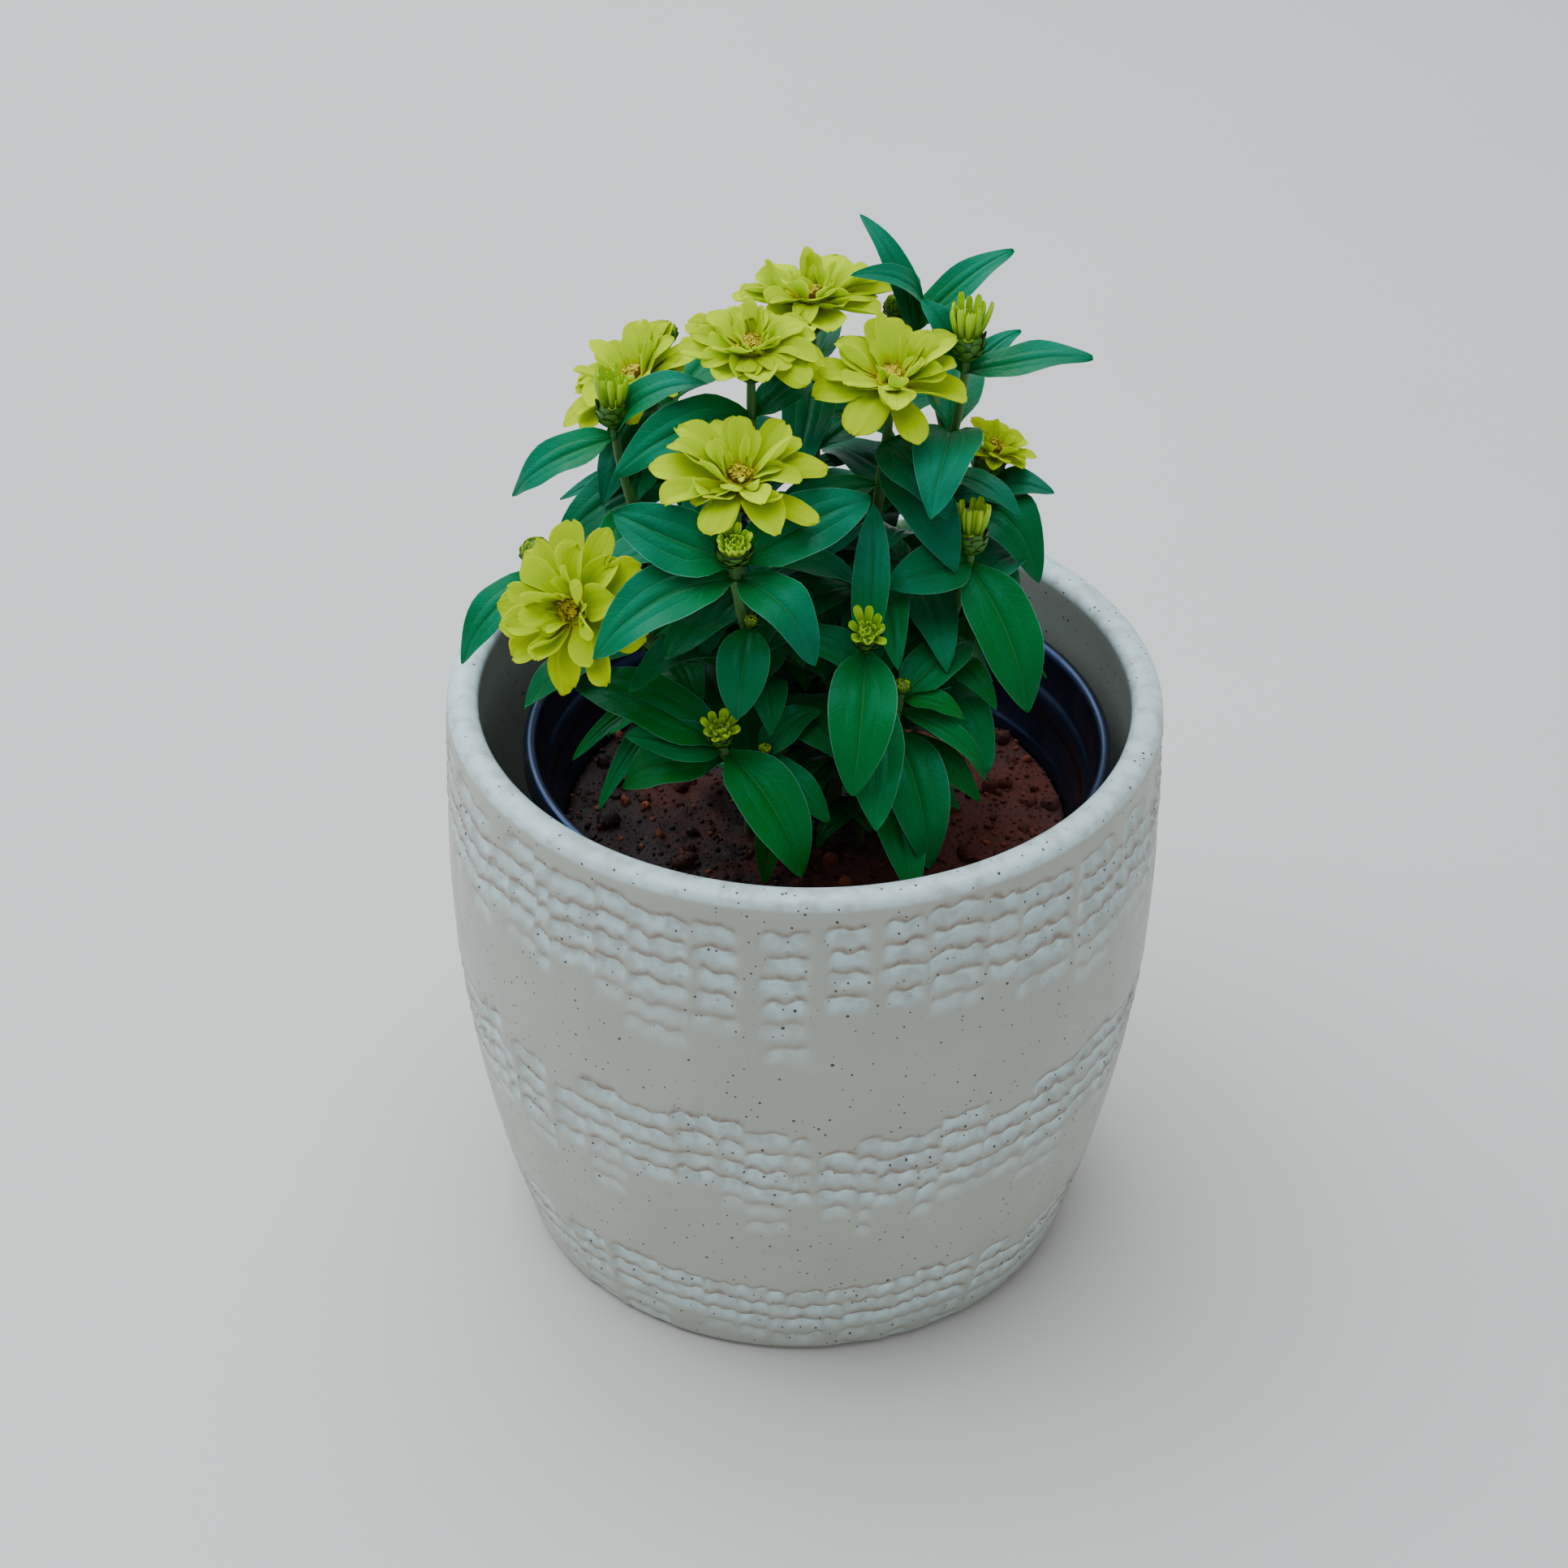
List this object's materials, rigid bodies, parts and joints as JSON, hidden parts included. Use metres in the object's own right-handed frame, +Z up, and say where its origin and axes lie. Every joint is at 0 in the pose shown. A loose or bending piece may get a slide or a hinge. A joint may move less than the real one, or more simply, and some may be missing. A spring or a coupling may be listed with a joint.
{
  "type": "potted zinnia",
  "caption": "Bushy double-flowered yellow zinnia with leafy stems and buds, in a black plastic nursery pot set inside a speckled, textured stoneware cover pot.",
  "frame": {"origin": "middle of the cover pot's flat underside, on the surface that it stands on", "axes": "+Z up along the cover pot's axis, -Y towards the side that the picture shows, +X to that view's right"},
  "size_m": [0.2432, 0.2432, 0.36],
  "materials": {
    "stoneware_glaze": "satin speckled glaze",
    "nursery_plastic": "satin",
    "laterite_soil": "crumbly, damp",
    "zinnia_leaf": "waxy satin",
    "zinnia_petal": "satin",
    "zinnia_disc": "matte"
  },
  "bodies": {
    "root": {"cover_pot": "stoneware_glaze", "nursery_pot": "nursery_plastic", "soil": "laterite_soil", "leafy_stem_01": "zinnia_leaf", "leafy_stem_02": "zinnia_leaf", "leafy_stem_03": "zinnia_leaf", "leafy_stem_04": "zinnia_leaf", "leafy_stem_05": "zinnia_leaf", "leafy_stem_06": "zinnia_leaf", "leafy_stem_07": "zinnia_leaf", "leafy_stem_08": "zinnia_leaf", "leafy_stem_09": "zinnia_leaf", "leafy_stem_10": "zinnia_leaf", "leafy_stem_11": "zinnia_leaf", "leafy_stem_12": "zinnia_leaf", "leafy_stem_13": "zinnia_leaf", "leafy_stem_14": "zinnia_leaf", "bloom_1": "zinnia_petal", "disc_1": "zinnia_disc", "bloom_2": "zinnia_petal", "disc_2": "zinnia_disc", "bloom_3": "zinnia_petal", "disc_3": "zinnia_disc", "bloom_4": "zinnia_petal", "disc_4": "zinnia_disc", "bloom_5": "zinnia_petal", "disc_5": "zinnia_disc", "bloom_6": "zinnia_petal", "disc_6": "zinnia_disc", "bloom_7": "zinnia_petal", "disc_7": "zinnia_disc", "bud_petals_1": "zinnia_petal", "bud_petals_2": "zinnia_petal", "bud_petals_3": "zinnia_petal", "bud_petals_4": "zinnia_petal", "bud_petals_5": "zinnia_petal", "bud_petals_6": "zinnia_petal"}
  },
  "joints": []
}
